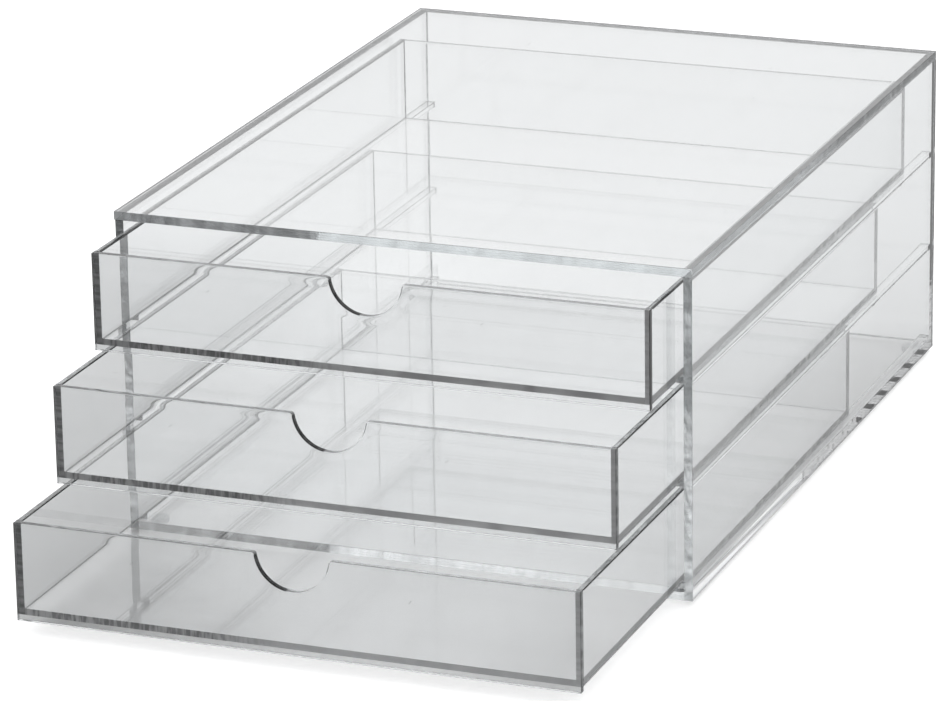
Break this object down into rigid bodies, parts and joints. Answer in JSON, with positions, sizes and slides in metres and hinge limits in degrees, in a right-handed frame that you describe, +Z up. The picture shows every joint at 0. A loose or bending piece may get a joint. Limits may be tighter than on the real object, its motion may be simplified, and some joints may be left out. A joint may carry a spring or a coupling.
{
  "type": "document drawer unit",
  "caption": "Clear acrylic document drawer unit: an open-fronted case with stacked shallow drawers that slide on side rails, each with a round finger cut-out in its front.",
  "frame": {"origin": "on the desk, under the centre of the case, level with the lower faces of the bumper feet", "axes": "+Z up; the drawers pull out towards -Y; +X is to the right of someone facing the drawers"},
  "size_m": [0.2606, 0.4757, 0.148],
  "materials": {
    "case_acrylic": "clear acrylic sheet, polished faces and saw-cut edges",
    "drawer_acrylic": "clear acrylic sheet, polished faces and saw-cut edges",
    "bumper": "clear soft polyurethane"
  },
  "bodies": {
    "case": {"case_top": "case_acrylic", "case_bottom": "case_acrylic", "case_left_wall": "case_acrylic", "case_right_wall": "case_acrylic", "case_back": "case_acrylic", "rail_upper_left": "case_acrylic", "rail_upper_right": "case_acrylic", "rail_middle_left": "case_acrylic", "rail_middle_right": "case_acrylic", "rail_lower_left": "case_acrylic", "rail_lower_right": "case_acrylic", "foot_front_left": "bumper", "foot_front_right": "bumper", "foot_rear_left": "bumper", "foot_rear_right": "bumper"},
    "upper_drawer": {"upper_drawer_front": "drawer_acrylic", "upper_drawer_left_side": "drawer_acrylic", "upper_drawer_right_side": "drawer_acrylic", "upper_drawer_back": "drawer_acrylic", "upper_drawer_floor": "drawer_acrylic"},
    "middle_drawer": {"middle_drawer_front": "drawer_acrylic", "middle_drawer_left_side": "drawer_acrylic", "middle_drawer_right_side": "drawer_acrylic", "middle_drawer_back": "drawer_acrylic", "middle_drawer_floor": "drawer_acrylic"},
    "lower_drawer": {"lower_drawer_front": "drawer_acrylic", "lower_drawer_left_side": "drawer_acrylic", "lower_drawer_right_side": "drawer_acrylic", "lower_drawer_back": "drawer_acrylic", "lower_drawer_floor": "drawer_acrylic"}
  },
  "joints": [
    {"name": "upper_drawer_slide", "type": "slide", "parent": "case", "child": "upper_drawer", "axis": [0, -1, 0], "range_m": [-0.0364, 0.2036]},
    {"name": "middle_drawer_slide", "type": "slide", "parent": "case", "child": "middle_drawer", "axis": [0, -1, 0], "range_m": [-0.0781, 0.1619]},
    {"name": "lower_drawer_slide", "type": "slide", "parent": "case", "child": "lower_drawer", "axis": [0, -1, 0], "range_m": [-0.1207, 0.1193]}
  ]
}
